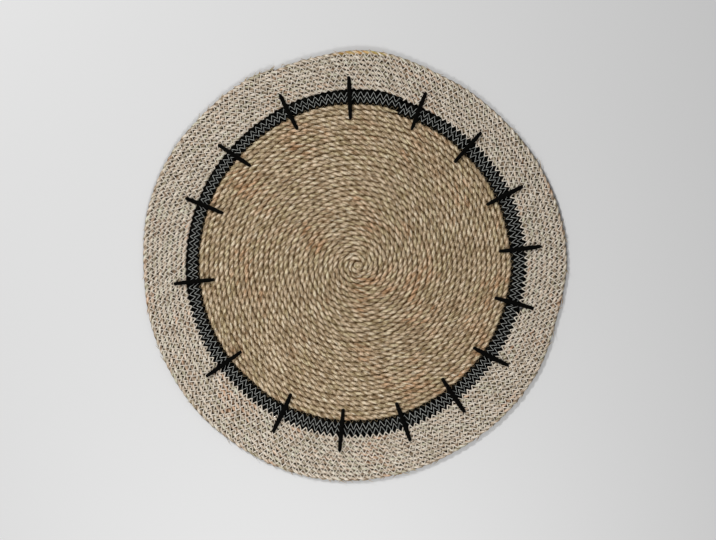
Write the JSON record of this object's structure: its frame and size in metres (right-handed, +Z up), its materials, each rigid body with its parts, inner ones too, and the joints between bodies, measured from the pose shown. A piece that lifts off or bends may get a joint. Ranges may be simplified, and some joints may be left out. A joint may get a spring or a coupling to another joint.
{
  "type": "seagrass placemat",
  "caption": "Round flat placemat coiled from twisted seagrass cord, with a black cord band, a pale sewn border and thick yarn stitches laid across the band.",
  "frame": {"origin": "bottom centre of the mat's bounding box, on the surface it lies on", "axes": "+Z up out of the face side; +Y towards the splice of the coils, which is at 75 degrees from +X; +X to the right seen from above"},
  "size_m": [0.3784, 0.3846, 0.007],
  "materials": {
    "natural_cord": "dry, slightly glossy twisted seagrass, khaki straw with green and reddish strands",
    "black_cord": "matt black dyed twisted cord under fine white sewing thread",
    "border_cord": "matt seagrass cord closely oversewn with off-white thread",
    "black_yarn": "matt thick black yarn"
  },
  "bodies": {
    "root": {"centre_coil": "natural_cord", "black_band": "black_cord", "border_coil": "border_cord", "stitch_01": "black_yarn", "stitch_02": "black_yarn", "stitch_03": "black_yarn", "stitch_04": "black_yarn", "stitch_05": "black_yarn", "stitch_06": "black_yarn", "stitch_07": "black_yarn", "stitch_08": "black_yarn", "stitch_09": "black_yarn", "stitch_10": "black_yarn", "stitch_11": "black_yarn", "stitch_12": "black_yarn", "stitch_13": "black_yarn", "stitch_14": "black_yarn", "stitch_15": "black_yarn", "stitch_16": "black_yarn"}
  },
  "joints": []
}
